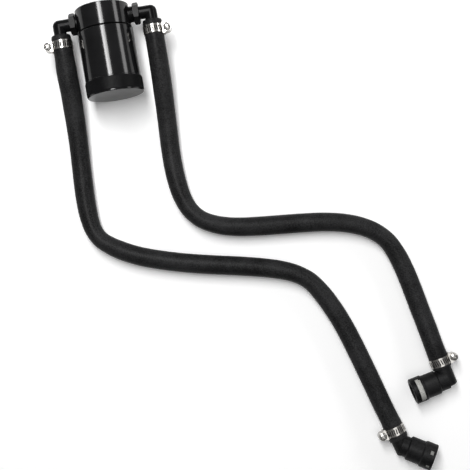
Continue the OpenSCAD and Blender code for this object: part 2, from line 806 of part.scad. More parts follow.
module angled_connector_body() {
    mouth_r = angled_mouth_d / 2;
    color(NYLON)
    at_left_connector()
    difference() {
        connector_body(angled_reach, angled_mouth_d, angled_mouth_l, angled_barrel_d, angled_leg,
                       angled_heel, angled_turn);
        from_mouth(angled_reach) at_ports()
        translate([mouth_r - mouth_wall - 1, -port_w / 2, port_x - port_l / 2])
        cube([mouth_wall + 2, port_w, port_l]);
    }
}

// A squeeze ring whose four ledges show in the small windows
module angled_connector_retainer() {
    mouth_r = angled_mouth_d / 2;
    ring_r = mouth_r - mouth_wall - run_gap;
    front_x = port_x - port_l / 2 + run_gap;
    ledge_w = port_w - 2 * run_gap;
    ledge_l = port_l - 2 * run_gap;
    color(PALE_NYLON)
    at_left_connector()
    from_mouth(angled_reach)
    translate([0, 0, front_x])
    difference() {
        union() {
            cylinder(r = ring_r, h = retainer_l);
            intersection() {
                cylinder(r = mouth_r - pad_sink, h = ledge_l);
                at_ports() translate([0, -ledge_w / 2, 0]) cube([mouth_r, ledge_w, ledge_l]);
            }
        }
        translate([0, 0, -1]) cylinder(r = lip_r, h = retainer_l + 2);
    }
}

module square_connector_bushing() {
    color(NYLON) at_right_connector() seal_stack_ring(square_reach, bushing_x, bushing_l);
}

module square_connector_front_seal() {
    color(SEAL) at_right_connector() seal_stack_seal(square_reach, front_seal_x);
}

module square_connector_spacer() {
    color(NYLON) at_right_connector() seal_stack_ring(square_reach, spacer_x, spacer_l);
}

module square_connector_rear_seal() {
    color(SEAL) at_right_connector() seal_stack_seal(square_reach, rear_seal_x);
}

module angled_connector_bushing() {
    color(NYLON) at_left_connector() seal_stack_ring(angled_reach, bushing_x, bushing_l);
}

module angled_connector_front_seal() {
    color(SEAL) at_left_connector() seal_stack_seal(angled_reach, front_seal_x);
}

module angled_connector_spacer() {
    color(NYLON) at_left_connector() seal_stack_ring(angled_reach, spacer_x, spacer_l);
}

module angled_connector_rear_seal() {
    color(SEAL) at_left_connector() seal_stack_seal(angled_reach, rear_seal_x);
}

head();
reservoir();
reservoir_seal();
filter_pad();
baffle_plate();
baffle_screw();
inlet_tube();
elbow_left();
elbow_right();
hose_left();
hose_right();
clamp_left_can_band();
clamp_left_can_housing();
clamp_left_can_screw();
clamp_right_can_band();
clamp_right_can_housing();
clamp_right_can_screw();
clamp_left_end_band();
clamp_left_end_housing();
clamp_left_end_screw();
clamp_right_end_band();
clamp_right_end_housing();
clamp_right_end_screw();
square_connector_body();
square_connector_retainer();
square_connector_bushing();
square_connector_front_seal();
square_connector_spacer();
square_connector_rear_seal();
angled_connector_body();
angled_connector_retainer();
angled_connector_bushing();
angled_connector_front_seal();
angled_connector_spacer();
angled_connector_rear_seal();
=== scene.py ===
"""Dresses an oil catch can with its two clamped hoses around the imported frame.

Lengths are in metres in the row frame: +Y along the can's axis towards its head, +Z up off the surface.
Sizes that a maker would give in millimetres are written through mm().
"""

from __future__ import annotations

import json
import logging
import math
from contextlib import contextmanager
from dataclasses import dataclass
from enum import Enum
from typing import Iterator, Sequence

import bpy
from mathutils import Matrix, Vector

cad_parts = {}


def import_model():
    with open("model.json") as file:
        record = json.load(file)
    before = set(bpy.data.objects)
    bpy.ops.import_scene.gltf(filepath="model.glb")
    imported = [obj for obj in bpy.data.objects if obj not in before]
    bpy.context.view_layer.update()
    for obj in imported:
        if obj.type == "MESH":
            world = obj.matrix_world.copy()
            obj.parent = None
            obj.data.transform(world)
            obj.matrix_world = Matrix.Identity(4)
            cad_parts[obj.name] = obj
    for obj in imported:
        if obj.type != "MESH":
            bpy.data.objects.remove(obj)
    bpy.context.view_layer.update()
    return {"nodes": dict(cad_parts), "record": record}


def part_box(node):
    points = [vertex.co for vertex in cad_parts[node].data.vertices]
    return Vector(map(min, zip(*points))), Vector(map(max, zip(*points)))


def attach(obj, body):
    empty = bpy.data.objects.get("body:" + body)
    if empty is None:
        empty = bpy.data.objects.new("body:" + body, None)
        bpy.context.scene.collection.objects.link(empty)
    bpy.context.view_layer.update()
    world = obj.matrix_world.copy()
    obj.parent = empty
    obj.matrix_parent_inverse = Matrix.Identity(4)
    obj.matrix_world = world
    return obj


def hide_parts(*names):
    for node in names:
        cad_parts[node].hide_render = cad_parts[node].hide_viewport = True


log = logging.getLogger("oil_catch_can")

Point = tuple[float, float, float]
Colour = tuple[float, float, float]


def mm(value: float) -> float:
    """Millimetres as metres."""
    return value * 0.001


def mm_point(point: Sequence[float]) -> Vector:
    """A point given in millimetres, in metres."""
    return Vector(point) * 0.001


def heading(degrees: float) -> Vector:
    """The level direction at an angle from +X."""
    angle = math.radians(degrees)
    return Vector((math.cos(angle), math.sin(angle), 0.0))


CAN_LENGTH = mm(94.5)
CAN_AXIS_X = mm(-1.8)
CAN_AXIS_Z = mm(30.4)
CAN_PLACE = (Matrix.Translation((CAN_AXIS_X, -CAN_LENGTH / 2, CAN_AXIS_Z))
             @ Matrix.Rotation(-math.pi / 2, 4, "X"))
GRIP_RADIUS = mm(30.4)
HOSE_RADIUS = mm(10.35)
WELD_DISTANCE = mm(0.0005)
# Half the width of a thread's ridge at its foot and at its tip, over the pitch.
THREAD_FOOT = 0.42
THREAD_TIP = 0.09


class Wire:
    """A socket that carries numbers, on which arithmetic adds Math nodes."""

    def __init__(self, bench: "NodeBench", socket: bpy.types.NodeSocket) -> None:
        """Keeps the socket and the bench whose nodes it belongs to."""
        self.bench = bench
        self.socket = socket

    def _math(self, operation: str, *terms: "Wire | float") -> "Wire":
        """Adds one Math node on some terms."""
        return self.bench.number("ShaderNodeMath", {"operation": operation}, terms)

    def __add__(self, other: "Wire | float") -> "Wire":
        """This plus the other, in either order."""
        return self._math("ADD", self, other)

    def __rsub__(self, other: float) -> "Wire":
        """The other less this."""
        return self._math("SUBTRACT", other, self)

    def __mul__(self, other: "Wire | float") -> "Wire":
        """This times the other, in either order."""
        return self._math("MULTIPLY", self, other)

    __radd__ = __add__
    __rmul__ = __mul__

    def between(self, low: float, high: float) -> "Wire":
        """How far this lies from low to high, smoothed and held between 0 and 1."""
        settings = {"interpolation_type": "SMOOTHSTEP"}
        return self.bench.number("ShaderNodeMapRange", settings, [self, low, high, 0.0, 1.0])


class NodeBench:
    """The node tree of a material or of the world, emptied."""

    def __init__(self, block: bpy.types.Material | bpy.types.World) -> None:
        """Empties the block's node tree.

        Args:
            block: the material or the world.
        """
        block.use_nodes = True
        self.tree = block.node_tree
        self.tree.nodes.clear()

    def feed(self, socket: bpy.types.NodeSocket, value: object) -> None:
        """Links a socket to a wire or another socket, or sets its value.

        Args:
            socket: the socket to feed.
            value: the wire, the other socket or the value.
        """
        if isinstance(value, Wire):
            self.tree.links.new(value.socket, socket)
        elif isinstance(value, bpy.types.NodeSocket):
            self.tree.links.new(value, socket)
        else:
            socket.default_value = value

    def node(self, kind: str, settings: dict[str, object],
             values: dict[str | int, object]) -> bpy.types.Node:
        """Adds a node.

        Args:
            kind: the node's type.
            settings: its own settings, which are set first.
            values: what goes into its sockets, by name or number.

        Returns:
            The node.
        """
        made = self.tree.nodes.new(kind)
        for key, value in settings.items():
            setattr(made, key, value)
        for key, value in values.items():
            self.feed(made.inputs[key], value)
        return made

    def number(self, kind: str, settings: dict[str, object], terms: Sequence[object]) -> Wire:
        """Adds a node that gives a number, fed in the order of its sockets."""
        return Wire(self, self.node(kind, settings, dict(enumerate(terms))).outputs[0])


class PaintShop(NodeBench):
    """The node tree of one material, with a Principled shader at its end."""

    # A colour Mix node's sockets, several of which share a name.
    MIX_SHARE, MIX_LOW, MIX_HIGH, MIX_RESULT = 0, 6, 7, 2

    def __init__(self, name: str) -> None:
        """Makes a material with a Principled shader and nothing that feeds it.

        Args:
            name: the material's name.
        """
        self.material = bpy.data.materials.new(name)
        super().__init__(self.material)
        self.shader = self.node("ShaderNodeBsdfPrincipled", {}, {})
        self.node("ShaderNodeOutputMaterial", {}, {"Surface": self.shader.outputs[0]})

    def mapped(self, source: str, scale: Point) -> bpy.types.NodeSocket:
        """One of the Texture Coordinate node's outputs, scaled along each axis."""
        here = self.node("ShaderNodeTexCoord", {}, {}).outputs[source]
        return self.node("ShaderNodeMapping", {}, {"Vector": here, "Scale": scale}).outputs[0]

    def place(self, scale: Point = (1.0, 1.0, 1.0)) -> bpy.types.NodeSocket:
        """Object coordinates, scaled along each axis."""
        return self.mapped("Object", scale)

    def noise(self, where: bpy.types.NodeSocket, scale: float = 1.0, detail: float = 3.0,
              rough: float = 0.55) -> Wire:
        """Fractal noise from 0 to 1 about one half."""
        values = {"Vector": where, "Scale": scale, "Detail": detail, "Roughness": rough}
        return Wire(self, self.node("ShaderNodeTexNoise", {}, values).outputs["Fac"])

    def cells(self, where: bpy.types.NodeSocket, scale: float) -> Wire:
        """The distance to the nearest of a scatter of points."""
        scatter = self.node("ShaderNodeTexVoronoi", {}, {"Vector": where, "Scale": scale})
        return Wire(self, scatter.outputs["Distance"])

    def blend(self, share: Wire, low: Colour, high: Colour) -> bpy.types.NodeSocket:
        """A colour between two others."""
        values = {self.MIX_SHARE: share, self.MIX_LOW: (*low, 1.0), self.MIX_HIGH: (*high, 1.0)}
        return self.node("ShaderNodeMix", {"data_type": "RGBA"}, values).outputs[self.MIX_RESULT]

    def relief(self, height: Wire, depth: float) -> bpy.types.NodeSocket:
        """A normal that follows a height, whose range of 1 stands for depth in metres."""
        return self.node("ShaderNodeBump", {}, {"Height": height, "Distance": depth}).outputs[0]

    def finish(self, **values: object) -> bpy.types.Material:
        """Feeds the Principled shader's sockets.

        Args:
            values: what goes into each socket, whose name has underscores for its spaces.

        Returns:
            The material.
        """
        for key, value in values.items():
            name = "IOR" if key == "ior" else key.replace("_", " ").title()
            self.feed(self.shader.inputs[name], value)
        return self.material


@dataclass(frozen=True)
class Finish:
    """What every finish has: a name, a colour and how dull it is."""

    name: str
    colour: Colour
    roughness: float

    def tone(self, factor: float) -> Colour:
        """The finish's colour, made lighter or darker."""
        return tuple(min(1.0, part * factor) for part in self.colour)

    def mottled(self, shop: PaintShop, share: Wire, first: float, last: float) -> bpy.types.NodeSocket:
        """The finish's colour, which goes from one tone to another as the share rises."""
        return shop.blend(share, self.tone(first), self.tone(last))

    def made(self) -> bpy.types.Material:
        """Makes the material once, under a name that none of the frame's slots has.

        Returns:
            The material, which every piece of this finish shares.
        """
        name = f"finish_{self.name}"
        known = bpy.data.materials.get(name)
        return known if known else self.paint(PaintShop(name))

    def paint(self, shop: PaintShop) -> bpy.types.Material:
        """Builds the material's nodes."""
        raise NotImplementedError


@dataclass(frozen=True)
class Anodised(Finish):
    """Black anodised aluminium, with fine marks round the can's axis where it was turned."""

    turned: bool = True
    ior: float = 1.5
    lathe_lines: Point = (60.0, 5200.0, 60.0)
    even_marks: Point = (900.0, 900.0, 900.0)

    def paint(self, shop: PaintShop) -> bpy.types.Material:
        """Puts turning marks and a fine grain in the relief, and a faint bloom in colour and gloss.

        Args:
            shop: the paint shop of the new material.

        Returns:
            The material.
        """
        marks = shop.noise(shop.place(self.lathe_lines if self.turned else self.even_marks), detail=2.0)
        bloom = shop.noise(shop.place(), scale=45.0, detail=4.0)
        grain = shop.noise(shop.place(), scale=5200.0, detail=2.0)
        return shop.finish(
            base_color=self.mottled(shop, bloom.between(0.3, 0.75), first=0.8, last=1.5),
            roughness=self.roughness + 0.06 * bloom + 0.05 * marks,
            ior=self.ior,
            normal=shop.relief(marks * 0.7 + grain * 0.3, depth=mm(0.004)),
        )


@dataclass(frozen=True)
class Rubber(Finish):
    """Extruded black rubber: fine lines along the hose and a matt, mottled skin."""

    extrusion_lines: Point = (0.6, 60.0, 1.0)

    def paint(self, shop: PaintShop) -> bpy.types.Material:
        """Draws its lines on the hose's own UV map, whose U runs along it in turns of its girth.

        Args:
            shop: the paint shop of the new material.

        Returns:
            The material.
        """
        lines = shop.noise(shop.mapped("UV", self.extrusion_lines))
        skin = shop.noise(shop.place(), scale=900.0)
        bloom = shop.noise(shop.place(), scale=28.0, detail=5.0, rough=0.6)
        shade = skin * 0.6 + bloom * 0.4
        return shop.finish(
            base_color=self.mottled(shop, shade.between(0.36, 0.64), first=0.35, last=1.9),
            roughness=self.roughness + 0.12 * bloom,
            ior=1.18,
            normal=shop.relief(lines * 0.35 + skin * 0.65, depth=mm(0.05)),
        )


@dataclass(frozen=True)
class Seal(Finish):
    """Moulded black rubber of an O-ring."""

    def paint(self, shop: PaintShop) -> bpy.types.Material:
        """Puts a fine grain in colour and relief.

        Args:
            shop: the paint shop of the new material.

        Returns:
            The material.
        """
        grain = shop.noise(shop.place(), scale=2600.0, detail=2.0)
        return shop.finish(
            base_color=self.mottled(shop, grain, first=0.8, last=1.3),
            roughness=self.roughness,
            normal=shop.relief(grain, depth=mm(0.01)),
        )


@dataclass(frozen=True)
class Steel(Finish):
    """Bright bare metal with faint drawing lines and a few duller patches."""

    drawing_lines: Point = (3200.0, 3200.0, 260.0)

    def paint(self, shop: PaintShop) -> bpy.types.Material:
        """Puts drawing lines in the relief and patches in the gloss.

        Args:
            shop: the paint shop of the new material.

        Returns:
            The material.
        """
        drawn = shop.noise(shop.place(self.drawing_lines), detail=2.0)
        patches = shop.noise(shop.place(), scale=210.0, detail=4.0)
        return shop.finish(
            base_color=self.mottled(shop, patches.between(0.3, 0.8), first=0.86, last=1.08),
            metallic=1.0,
            roughness=self.roughness + 0.16 * patches + 0.06 * drawn,
            normal=shop.relief(drawn, depth=mm(0.004)),
        )


@dataclass(frozen=True)
class Nylon(Finish):
    """Moulded nylon with an eroded mould texture."""

    grain_depth: float = mm(0.02)
    ior: float = 1.25
    mottle: float = 0.6
    flow_marks: Point = (1.0, 1.0, 2.0)

    def paint(self, shop: PaintShop) -> bpy.types.Material:
        """Puts an eroded grain in the relief, and flow marks and a fine mottle in the colour.

        Args:
            shop: the paint shop of the new material.

        Returns:
            The material.
        """
        grain = shop.noise(shop.place(), scale=1500.0, rough=0.6)
        flow = shop.noise(shop.place(self.flow_marks), scale=70.0)
        shade = flow * 0.35 + shop.noise(shop.place(), scale=800.0) * 0.65
        return shop.finish(
            base_color=self.mottled(shop, shade.between(0.36, 0.64), 1 - self.mottle, 1 + self.mottle),
            roughness=self.roughness + 0.1 * flow,
            ior=self.ior,
            normal=shop.relief(grain, self.grain_depth),
        )


@dataclass(frozen=True)
class Gauze(Finish):
    """Knitted wire gauze."""

    def paint(self, shop: PaintShop) -> bpy.types.Material:
        """Makes loops of wire from scattered cells, with painted shade in the gaps between the loops, where
        the colour darkens as the relief falls.

        Args:
            shop: the paint shop of the new material.

        Returns:
            The material.
        """
        loops = shop.cells(shop.place(), scale=900.0)
        # Partly the loops' pattern, partly painted shade: bright on the wire loops and darkening into the
        # gaps between them.
        return shop.finish(
            base_color=self.mottled(shop, loops.between(0.1, 0.6), first=1.3, last=0.35),
            metallic=0.8,
            roughness=self.roughness,
            normal=shop.relief(1.0 - loops, depth=mm(0.25)),
        )


class Finishes(Enum):
    """Every finish on the part."""

    CAN = Anodised("anodised_turned", (0.0055, 0.0055, 0.006), 0.07)
    GRIP = Anodised("anodised_knurled", (0.005, 0.005, 0.0055), 0.28, ior=1.2)
    # Painted shade: the groove under the head gets a darker, duller, nearly glossless black that stands in
    # for the shadow in that recess.
    GROOVE = Anodised("anodised_groove_painted_shade", (0.0015, 0.0015, 0.0015), 0.6, turned=False, ior=1.08)
    FITTING = Anodised("anodised_fitting", (0.006, 0.006, 0.0065), 0.2, turned=False, ior=1.17)
    HOSE = Rubber("hose_rubber", (0.0158, 0.0158, 0.0163), 0.36)
    SEAL = Seal("seal_rubber", (0.012, 0.012, 0.012), 0.4)
    STEEL = Steel("stainless_strip", (0.62, 0.6, 0.57), 0.1)
    SCREW = Steel("zinc_screw", (0.5, 0.49, 0.47), 0.16)
    TUBE = Steel("drawn_aluminium", (0.7, 0.7, 0.71), 0.28)
    BODY = Nylon("black_nylon", (0.0075, 0.0075, 0.008), 0.4)
    LEDGE = Nylon("grey_nylon", (0.2, 0.2, 0.19), 0.42, mm(0.01), ior=1.4, mottle=0.3)
    RETAINER = Nylon("pale_nylon", (0.4, 0.4, 0.38), 0.42, mm(0.01), ior=1.4, mottle=0.25)
    RING = Nylon("natural_nylon", (0.6, 0.57, 0.49), 0.4, mm(0.008), ior=1.4, mottle=0.2)
    GAUZE = Gauze("wire_gauze", (0.5, 0.5, 0.48), 0.4)


SLOT_FINISHES: dict[str, Finishes] = {
    "anodised_body": Finishes.CAN,
    "anodised_fitting": Finishes.FITTING,
    "bare_aluminium": Finishes.TUBE,
    "stainless": Finishes.STEEL,
    "wire_gauze": Finishes.GAUZE,
    "hose_rubber": Finishes.HOSE,
    "seal_rubber": Finishes.SEAL,
    "black_nylon": Finishes.BODY,
    "pale_nylon": Finishes.RETAINER,
    "natural_nylon": Finishes.RING,
}
# Nodes whose finish isn't their slot's.
NODE_FINISHES: dict[str, Finishes] = {"angled_connector_retainer": Finishes.LEDGE}


def deselect_everything() -> None:
    """Clears the selection, which an operator would otherwise act on."""
    bpy.ops.object.select_all(action="DESELECT")


def make_active(piece: bpy.types.Object) -> None:
    """Selects one piece alone.

    Args:
        piece: the piece.
    """
    deselect_everything()
    piece.select_set(True)
    bpy.context.view_layer.objects.active = piece


@contextmanager
def edit_mode(piece: bpy.types.Object) -> Iterator[None]:
    """Edits one piece's mesh with everything in it selected, and leaves edit mode afterwards.

    Args:
        piece: the piece.

    Yields:
        Nothing, while the piece is in edit mode.
    """
    make_active(piece)
    bpy.ops.object.mode_set(mode="EDIT")
    bpy.ops.mesh.select_mode(type="VERT")
    bpy.ops.mesh.select_all(action="SELECT")
    yield
    bpy.ops.object.mode_set(mode="OBJECT")


def apply_modifier(piece: bpy.types.Object, kind: str, **settings: object) -> None:
    """Adds a modifier to a piece and applies it.

    Args:
        piece: the piece.
        kind: the modifier's type.
        settings: the modifier's own settings.
    """
    make_active(piece)
    modifier = piece.modifiers.new(kind.title(), kind)
    for key, value in settings.items():
        setattr(modifier, key, value)
    bpy.ops.object.modifier_apply(modifier=modifier.name)


def put(piece: bpy.types.Object, place: Matrix) -> None:
    """Moves a piece's mesh to its place, and leaves the object at the origin.

    Args:
        piece: the piece.
        place: where its mesh goes.
    """
    make_active(piece)
    piece.matrix_world = place
    bpy.ops.object.transform_apply(location=True, rotation=True, scale=True)


def smooth(piece: bpy.types.Object, degrees: float = 35.0) -> None:
    """Shades a piece smooth, apart from edges sharper than an angle."""
    make_active(piece)
    bpy.ops.object.shade_smooth_by_angle(angle=math.radians(degrees))


def piece_of(name: str, points: Sequence[Sequence[float]], edges: Sequence[Sequence[int]],
             faces: Sequence[Sequence[int]]) -> bpy.types.Object:
    """Adds a mesh object to the scene.

    Args:
        name: the piece's name.
        points: its points.
        edges: the edges that no face gives, as pairs of points.
        faces: its faces, as rings of points.

    Returns:
        The piece.
    """
    mesh = bpy.data.meshes.new(name)
    mesh.from_pydata([tuple(point) for point in points], list(edges), list(faces))
    piece = bpy.data.objects.new(name, mesh)
    bpy.context.scene.collection.objects.link(piece)
    return piece


def join(parts: Sequence[bpy.types.Object], name: str) -> bpy.types.Object:
    """Joins several pieces into the first.

    Args:
        parts: the pieces.
        name: the joined piece's name.

    Returns:
        The joined piece.
    """
    make_active(parts[0])
    for part in parts[1:]:
        part.select_set(True)
    bpy.ops.object.join()
    parts[0].name = name
    return parts[0]


def dress(piece: bpy.types.Object, finish: Finishes) -> None:
    """Gives a piece one finish all over."""
    piece.data.materials.clear()
    piece.data.materials.append(finish.value.made())


def rounded(corners: Sequence[Sequence[float]], steps: int = 5) -> list[tuple[float, float]]:
    """An outline whose corners are rounded.

    Args:
        corners: each corner as (radius from the axis, place along it), or with a fillet radius as well.
        steps: how many stretches a fillet has.

    Returns:
        The outline's points.
    """
    outline: list[tuple[float, float]] = []
    for i, corner in enumerate(corners):
        here = Vector(corner[:2])
        fillet = corner[2] if len(corner) > 2 else 0.0
        if fillet <= 0.0 or i in (0, len(corners) - 1):
            outline.append((here.x, here.y))
            continue
        back = (Vector(corners[i - 1][:2]) - here).normalized()
        on = (Vector(corners[i + 1][:2]) - here).normalized()
        half = back.angle(on) / 2
        reach = fillet / math.tan(half)
        centre = here + (back + on).normalized() * fillet / math.sin(half)
        first, last = here + back * reach - centre, here + on * reach - centre
        turn = first.angle_signed(last)
        for k in range(steps + 1):
            outline.append(tuple(centre + Matrix.Rotation(-turn * k / steps, 2) @ first))
    return outline


def turned(name: str, outline: Sequence[tuple[float, float]], steps: int = 128) -> bpy.types.Object:
    """A solid of revolution about Z.

    Args:
        name: the piece's name.
        outline: points as (radius, height), from axis to axis or round a loop that ends where it begins.
        steps: how many faces go round.

    Returns:
        The piece, with its faces pointing outwards.
    """
    points = [(radius, 0.0, height) for radius, height in outline]
    piece = piece_of(name, points, [(i, i + 1) for i in range(len(points) - 1)], [])
    with edit_mode(piece):
        bpy.ops.mesh.spin(steps=steps, angle=2 * math.pi, center=(0, 0, 0), axis=(0, 0, 1))
        bpy.ops.mesh.select_all(action="SELECT")
        bpy.ops.mesh.remove_doubles(threshold=WELD_DISTANCE)
        bpy.ops.mesh.normals_make_consistent(inside=False)
    smooth(piece)
    return piece


def thread(name: str, root: float, crest: float, pitch: float, length: float,
           steps: int = 40) -> bpy.types.Object:
    """A right-handed thread's ridge round Z, from height 0 up.

    Args:
        name: the piece's name.
        root: the ridge's inner radius.
        crest: its outer radius.
        pitch: how far it climbs in a turn.
        length: how far it reaches along Z.
        steps: how many faces a turn has.

    Returns:
        The ridge as one closed piece.
    """
    foot, tip = pitch * THREAD_FOOT, pitch * THREAD_TIP
    section = [(root, 0, -foot), (crest, 0, -tip), (crest, 0, tip), (root, 0, foot)]
    piece = piece_of(name, section, [(0, 1), (1, 2), (2, 3), (3, 0)], [])
    turns = max(1, round((length - 2 * foot) / pitch))
    apply_modifier(piece, "SCREW", axis="Z", angle=2 * math.pi, screw_offset=pitch, iterations=turns,
                   steps=steps, render_steps=steps, use_merge_vertices=False)
    with edit_mode(piece):
        bpy.ops.transform.translate(value=(0, 0, foot))
        bpy.ops.mesh.select_all(action="DESELECT")
        bpy.ops.mesh.select_non_manifold()
        bpy.ops.mesh.edge_face_add()
        bpy.ops.mesh.select_all(action="SELECT")
        bpy.ops.mesh.normals_make_consistent(inside=False)
    smooth(piece)
    return piece


@dataclass
class Can:
    """The turned can's reservoir with its knurled grip band."""

    body_radius: float = mm(29.5)
    grip_height: float = mm(17)
    wall: float = mm(3.2)
    floor: float = mm(4)
    rim: float = mm(70.5)
    groove_height: float = mm(1.5)
    land_radius: float = mm(28.1)
    neck_radius: float = mm(24.4)
    neck_height: float = mm(13)
    seal_slot: tuple[float, float, float] = (mm(25.35), mm(27.15), mm(1.8))
    knurl_depth: float = mm(0.35)
    knurl_margin: float = mm(1.3)
    knurl_count: int = 150
    knurl_rows: int = 13
    knurl_steps: int = 4
    knurl_crest: float = 0.42
    knurl_fade: float = mm(0.9)
    knurl_least: float = 0.35
    knurl_sink: float = mm(0.25)
    knurl_wall: float = mm(0.8)

    def build(self) -> list[bpy.types.Object]:
        """Builds the pieces that replace or dress the can's own nodes.

        Returns:
            The reservoir and its knurled band.
        """
        reservoir = self.reservoir()
        knurl = self.knurl()
        for piece in (reservoir, knurl):
            put(piece, CAN_PLACE)
            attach(piece, "reservoir")
        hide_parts("reservoir")
        dress(reservoir, Finishes.CAN)
        dress(knurl, Finishes.GRIP)
        # Painted shade in the groove under the head.
        self.paint_groove_shade(reservoir)
        return [reservoir, knurl]

    def paint_groove_shade(self, reservoir: bpy.types.Object) -> None:
        """Paints shade into the groove under the head: its faces get a darker, duller and nearly glossless
        finish that stands in for the shadow in that recess.

        Args:
            reservoir: the reservoir, in its place.
        """
        reservoir.data.materials.append(Finishes.GROOVE.value.made())
        hair = mm(0.01)
        for face in reservoir.data.polygons:
            height = face.center.y + CAN_LENGTH / 2
            radius = math.hypot(face.center.x - CAN_AXIS_X, face.center.z - CAN_AXIS_Z)
            in_groove = height > self.rim - self.groove_height - hair and radius > self.seal_slot[1]
            # Faces in the groove get the painted shade.
            face.material_index = 1 if in_groove and radius < self.body_radius - hair else 0

    def reservoir(self) -> bpy.types.Object:
        """Turns the reservoir, with its slot for the seal.

        Returns:
            The reservoir, standing on its bottom face.
        """
        cavity = self.body_radius - self.wall
        sleeve_gap = mm(0.1)
        under_band = GRIP_RADIUS - self.knurl_depth - sleeve_gap
        bottom_radius = GRIP_RADIUS - mm(0.9)
        bottom_bevel = mm(0.75)
        band_top = self.grip_height - mm(0.5)
        shoulder = self.grip_height - sleeve_gap
        neck_foot = self.rim - self.neck_height
        soft, fine = mm(0.5), mm(0.25)
        slot_inner, slot_outer, slot_depth = self.seal_slot
        return turned("reservoir_body", rounded([
            (0, 0),
            (bottom_radius, 0, fine),
            (under_band, bottom_bevel, fine),
            (under_band, band_top, fine),
            (self.body_radius, shoulder, sleeve_gap),
            (self.body_radius, self.rim - self.groove_height, soft * 0.8),
            (self.land_radius, self.rim - self.groove_height, fine * 0.6),
            (self.land_radius, self.rim, fine),
            (slot_outer, self.rim),
            (slot_outer, self.rim - slot_depth),
            (slot_inner, self.rim - slot_depth),
            (slot_inner, self.rim),
            (self.neck_radius, self.rim, soft * 0.8),
            (self.neck_radius, neck_foot, fine),
            (cavity, neck_foot - (cavity - self.neck_radius), soft),
            (cavity, self.floor, soft * 3),
            (0, self.floor),
        ]), steps=160)

    def knurl(self) -> bpy.types.Object:
        """Knurls a sleeve in diamonds, whose crests lie on the grip band's own surface.

        Returns:
            The sleeve, round the standing reservoir's foot.
        """
        steps, fade = self.knurl_steps, self.knurl_fade
        columns, rows = self.knurl_count * steps, self.knurl_rows * steps
        low, high = self.knurl_margin, self.grip_height - self.knurl_margin
        points: list[Point] = []
        for j in range(rows + 1):
            height = low + (high - low) * j / rows
            edge = min(1.0, (height - low) / fade, (high - height) / fade)
            share = self.knurl_least + (1 - self.knurl_least) * edge
            for i in range(columns):
                right = (i + j) / steps % 1.0
                left = (i - j) / steps % 1.0
                nearest = min(1 - abs(2 * right - 1), 1 - abs(2 * left - 1))
                crest = min(nearest, self.knurl_crest) / self.knurl_crest
                radius = GRIP_RADIUS - self.knurl_depth * (1 - crest * min(1.0, share))
                radius -= (1 - edge) ** 2 * self.knurl_sink
                turn = 2 * math.pi * i / columns
                points.append((radius * math.cos(turn), radius * math.sin(turn), height))
        faces = [(j * columns + i, j * columns + (i + 1) % columns,
                  (j + 1) * columns + (i + 1) % columns, (j + 1) * columns + i)
                 for j in range(rows) for i in range(columns)]
        piece = piece_of("grip_knurl", points, [], faces)
        with edit_mode(piece):
            bpy.ops.mesh.select_all(action="DESELECT")
            bpy.ops.mesh.select_non_manifold()
            bpy.ops.mesh.extrude_edges_move()
            inward = (GRIP_RADIUS - self.knurl_wall) / GRIP_RADIUS
            bpy.ops.transform.resize(value=(inward, inward, 1.0), center_override=(0, 0, 0))
            bpy.ops.mesh.select_all(action="SELECT")
            bpy.ops.mesh.normals_make_consistent(inside=False)
        smooth(piece, 50.0)
        return piece


@dataclass
class BareThread:
    """The pipe thread that shows between the head and the hexagon of an elbow screwed in part of the way."""

    node: str
    side: int
    port_y: float = mm(35.05)
    head_radius: float = mm(28.6)
    sunk: float = mm(1)
    length: float = mm(5.1)
    root_radius: float = mm(8.1)
    crest_radius: float = mm(8.75)
    pitch: float = mm(1.4)

    def build(self) -> list[bpy.types.Object]:
        """Builds the thread's ridge.

        Returns:
            The ridge alone.
        """
        ridge = thread(f"{self.node}_thread", self.root_radius, self.crest_radius, self.pitch, self.length)
        start = Vector((CAN_AXIS_X + self.side * (self.head_radius - self.sunk), self.port_y, CAN_AXIS_Z))
        put(ridge, Matrix.Translation(start) @ Matrix.Rotation(self.side * math.pi / 2, 4, "Y"))
        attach(ridge, "root")
        dress(ridge, Finishes.FITTING)
        return [ridge]


